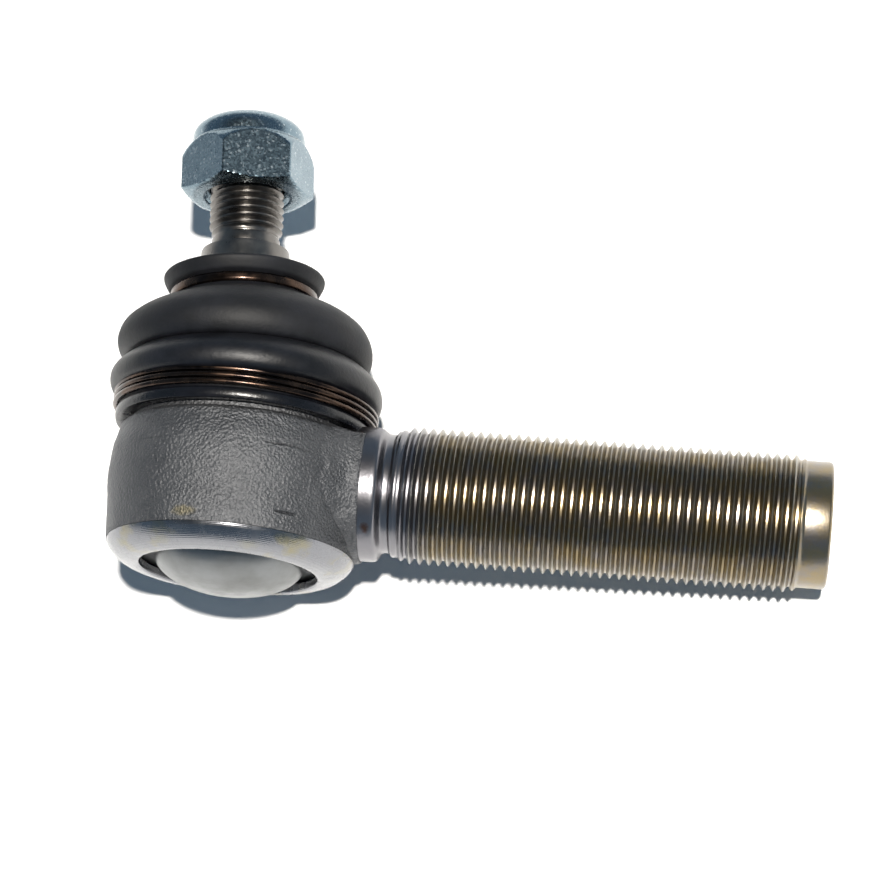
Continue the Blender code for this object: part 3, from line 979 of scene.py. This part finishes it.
class TIEROD_OT_clamp(bpy.types.Operator):
    """Wire wound round the boot's foot"""

    bl_idname = "tierod.clamp"
    bl_label = "Clamp wire"

    def execute(self, context):
        values = {
            "Turns": 2.62,
            "Pitch": 1.03,
            "Coil radius": 20.72,
            "Wire radius": sizes()["wire"] / 2,
            "Points a turn": 160,
            "Finish": bronzed_wire(),
        }
        bm = mesh_from_tree(wire_tree(), values)
        # The wire's last stretch is tucked in towards the boot.
        end, stretch = values["Turns"] * values["Pitch"], 0.16
        for vert in bm.verts:
            tuck = max(0.0, (vert.co.z - end + stretch) / stretch)
            vert.co.xy *= 1 - 0.05 * min(tuck, 1.0)
        upright = Matrix.Rotation(-math.pi / 2, 4, "X") @ Matrix.Rotation(0.4, 4, "Z")
        stand = Matrix.Translation((0, 10.1, 0)) @ upright
        made = piece_from("clamp_wire", bm, SOCKET @ stand, values["Finish"], sharp=60)
        finish_piece(made, "housing_body", "bronzed_steel", "boot_clamp_coil")
        return {"FINISHED"}


class TIEROD_OT_ring(bpy.types.Operator):
    """Band round the boot's neck"""

    bl_idname = "tierod.ring"
    bl_label = "Upper ring"

    def execute(self, context):
        band = smooth_outline(
            [
                (11.15, 30.0),
                (11.6, 29.98),
                (11.82, 30.3),
                (11.85, 30.75),
                (11.82, 31.2),
                (11.6, 31.5),
                (11.15, 31.48),
                (11.15, 31.48),
                (11.15, 30.0),
            ],
            4,
        )[:-1]
        made = piece_from("neck_ring", turned(band, 160), STUD, bronzed_wire(), sharp=50)
        finish_piece(made, "ring_body", "bronzed_steel", "boot_upper_ring")
        return {"FINISHED"}


class TIEROD_OT_stud(bpy.types.Operator):
    """Ball stud: ball, waist, ground taper and right-hand thread"""

    bl_idname = "tierod.stud"
    bl_label = "Ball stud"

    def execute(self, context):
        s = sizes()
        columns, finish = 96, turned_stud()
        root, start, stop = s["stud_root"], s["stud_start"], s["stud_stop"]
        thread = screw(
            start, stop, s["stud_pitch"], root, s["stud_crest"], RIGHT_HAND, 1.5, 0.08, columns, finish
        )
        ball = bowl(12.0, 12.0, 0.0, range(0, 153, 3))
        stem = [(6.0, 10.4), (6.0, 17.8), (6.4, 18.8), (7.4, 20.0), (8.24, 20.6)]
        taper = [(8.24, 20.9), (7.15, 38.4), (7.05, 38.62), (6.8, 38.72), (5.75, 38.75)]
        land = [(5.58, 38.9), (5.55, 40.4), (root, start)]
        tip = [(root, stop), (root - 0.1, 59.9), (root - 0.6, 60.2), (0.0, 60.2)]
        bm = add_mesh(thread, turned(ball + stem + taper + land, columns, False, "X"))
        add_mesh(bm, turned(tip, columns, False, "X"))
        stand = Matrix.Rotation(math.pi / 2, 4, "Z")
        made = piece_from("stud_with_ball", bm, STUD @ stand, finish, sharp=28)
        finish_piece(made, "stud_body", "turned_steel", "ball_stud")
        return {"FINISHED"}


class TIEROD_OT_nut(bpy.types.Operator):
    """Self-locking nut: chamfered hexagon, round collar and nylon ring"""

    bl_idname = "tierod.nut"
    bl_label = "Nut and insert"

    def execute(self, context):
        s = sizes()
        half, face, top = s["nut_flats"] / 2, s["nut_face"], s["nut_top"]
        hex_top = face + 8.5
        yaw = math.radians(15.7)  # the way the hexagon faces
        outline = [
            (6.1, face + 0.9),
            (6.9, face + 0.05),
            (7.05, face),
            (half - 0.6, face),
            (half - 0.4, face + 0.04),
            (half + 0.3, face + 0.3),
            (half + 1.0, face + 0.6),
            (half + 1.5, face + 0.85),
            (half + 1.6, face + 1.1),
            (half + 1.6, hex_top - 2.7),
            (half + 1.47, hex_top - 2.3),
            (half + 0.95, hex_top - 1.3),
            (half + 0.4, hex_top - 0.55),
            (half + 0.05, hex_top - 0.15),
            (half - 0.15, hex_top + 0.05),
            (half - 0.28, hex_top + 0.3),
            (half - 0.3, hex_top + 1.2),
            (half - 0.38, hex_top + 1.9),
            (half - 0.6, hex_top + 2.5),
            (half - 1.05, hex_top + 3.1),
            (half - 1.7, hex_top + 3.65),
            (half - 2.3, hex_top + 4.0),
            (half - 2.7, top),
            (half - 3.0, top - 0.1),
            (half - 3.05, top - 0.5),
            (8.1, 59.2),
            (8.1, 57.1),
            (6.1, 57.1),
        ]
        bm = turned(split_long(outline, 0.45), 240)
        for vert in bm.verts:
            radius = math.hypot(vert.co.x, vert.co.z)
            if radius < half - 0.3:
                continue
            angle = math.atan2(vert.co.x, vert.co.z) - yaw
            off = (angle + math.pi / 6) % (math.pi / 3) - math.pi / 6
            flat = half / math.cos(off)
            if radius > flat:
                vert.co.x *= flat / radius
                vert.co.z *= flat / radius
        made = piece_from("zinc_nut", bm, STUD, zinc_plating(), sharp=22)
        finish_piece(made, "nut_body", "zinc_plate", "nut")

        ring = [(6.05, 57.4), (7.9, 57.4), (7.95, 58.4), (7.5, 59.3), (6.7, 60.0), (6.25, 60.05)]
        ring = turned(rounded([*ring, (6.05, 59.8)], 0.15), 128)
        insert = piece_from("nylon_ring", ring, STUD, moulded_plastic("Moulded nylon", "nylon", 2.0))
        finish_piece(insert, "insert_body", "nylon", "nut_insert")
        return {"FINISHED"}


def area_light(name, toward, distance, size, power, shade):
    """A soft lamp that looks at the part's middle from the given direction."""
    lamp = bpy.data.lights.new(name, "AREA")
    lamp.shape = "DISK"
    lamp.size = size
    lamp.energy = power
    lamp.color = linear(shade)
    made = bpy.data.objects.new(name, lamp)
    made.location = Vector((0, 0, 0.02)) + toward.normalized() * distance
    made.rotation_euler = toward.to_track_quat("Z", "Y").to_euler()
    bpy.context.scene.collection.objects.link(made)


class TIEROD_OT_stage(bpy.types.Operator):
    """Pale floor, soft light and the camera"""

    bl_idname = "tierod.stage"
    bl_label = "Stage"

    def execute(self, context):
        scene = context.scene
        paper, tree, shader = new_finish("White paper", hue("floor"), 0.9, 0.0)
        spot = node(tree, "ShaderNodeTexCoord").outputs["Object"]
        fibre = grain(tree, spot, 1.5, 3.0)
        relief(tree, shader, (fibre, 0.01))
        bm = bmesh.new()
        bmesh.ops.create_circle(bm, cap_ends=True, segments=96, radius=3000.0)
        floor = piece_from("paper_floor", bm, Matrix.Scale(MM, 4), paper)
        if floor.data.polygons[0].normal.z < 0:
            floor.data.flip_normals()

        backdrop, _, shader = new_finish("White backdrop", (0.0, 0.0, 0.0, 1.0), 1.0, 0.0)
        shader.inputs["Emission Color"].default_value = tint("ffffff")
        shader.inputs["Emission Strength"].default_value = 1.05
        bm = bmesh.new()
        bmesh.ops.create_uvsphere(bm, u_segments=48, v_segments=24, radius=2900.0)
        dome = piece_from("pale_backdrop", bm, Matrix.Scale(MM, 4), backdrop)
        for ray in ("diffuse", "glossy", "transmission", "shadow"):
            setattr(dome, "visible_" + ray, False)

        # A dim studio sky that darkens overhead, where the polished faces look.
        world = bpy.data.worlds.new("Dim studio")
        world.use_nodes = True
        sky = world.node_tree
        heading = node(sky, "ShaderNodeTexCoord").outputs["Generated"]
        rise = node(sky, "ShaderNodeSeparateXYZ", {"Vector": heading}).outputs["Z"]
        fill = spread(sky, rise, 0.5, 0.88, 1.0, 0.12)
        sky.nodes["Background"].inputs["Color"].default_value = tint("7b90a3")
        sky.links.new(fill, sky.nodes["Background"].inputs["Strength"])
        scene.world = world
        scene.view_settings.view_transform = "Standard"

        # The camera's place in millimetres and its axes, both on the socket's own axes.
        right = Vector((0.99369, 0.09227, -0.0638))
        up = Vector((-0.07105, 0.95777, 0.27861))
        back = right.cross(up)
        turn = SOCKET.to_3x3().normalized()
        view = Matrix((turn @ right, turn @ up, turn @ back)).transposed().to_4x4()
        lens = bpy.data.cameras.new("view")
        lens.lens = 121.9
        lens.clip_start = 0.02
        lens.clip_end = 20.0
        camera = bpy.data.objects.new("view", lens)
        camera.matrix_world = Matrix.Translation(SOCKET @ Vector((73.13, -120.5, 455.55))) @ view
        scene.collection.objects.link(camera)
        scene.camera = camera

        high = math.radians(12.5)
        toward = turn @ (back * math.cos(high) + up * math.sin(high))
        area_light("key", toward, 1.5, 0.08, 44.0, "fffaf2")
        return {"FINISHED"}


class TIEROD_PT_panel(bpy.types.Panel):
    """Sizes, colours and build buttons"""

    bl_idname = "TIEROD_PT_panel"
    bl_label = "Tie rod end"
    bl_space_type = "VIEW_3D"
    bl_region_type = "UI"
    bl_category = "Tie rod end"

    def draw(self, context):
        for group in (context.scene.tie_rod_sizes, context.scene.tie_rod_colours):
            box = self.layout.box()
            for key in group.__annotations__:
                box.prop(group, key)
        for maker in MAKERS:
            self.layout.operator(maker.bl_idname)


MAKERS = (
    TIEROD_OT_forging,
    TIEROD_OT_rim,
    TIEROD_OT_shank,
    TIEROD_OT_cap,
    TIEROD_OT_inside,
    TIEROD_OT_boot,
    TIEROD_OT_clamp,
    TIEROD_OT_ring,
    TIEROD_OT_stud,
    TIEROD_OT_nut,
    TIEROD_OT_stage,
)
CLASSES = (TieRodSizes, TieRodColours, *MAKERS, TIEROD_PT_panel)


def register():
    for kind in CLASSES:
        bpy.utils.register_class(kind)
    bpy.types.Scene.tie_rod_sizes = PointerProperty(type=TieRodSizes)
    bpy.types.Scene.tie_rod_colours = PointerProperty(type=TieRodColours)


def unregister():
    del bpy.types.Scene.tie_rod_colours
    del bpy.types.Scene.tie_rod_sizes
    for kind in reversed(CLASSES):
        bpy.utils.unregister_class(kind)


def main():
    register()
    for maker in MAKERS:
        group, name = maker.bl_idname.split(".")
        getattr(getattr(bpy.ops, group), name)()
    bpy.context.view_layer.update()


if __name__ == "__main__":
    main()
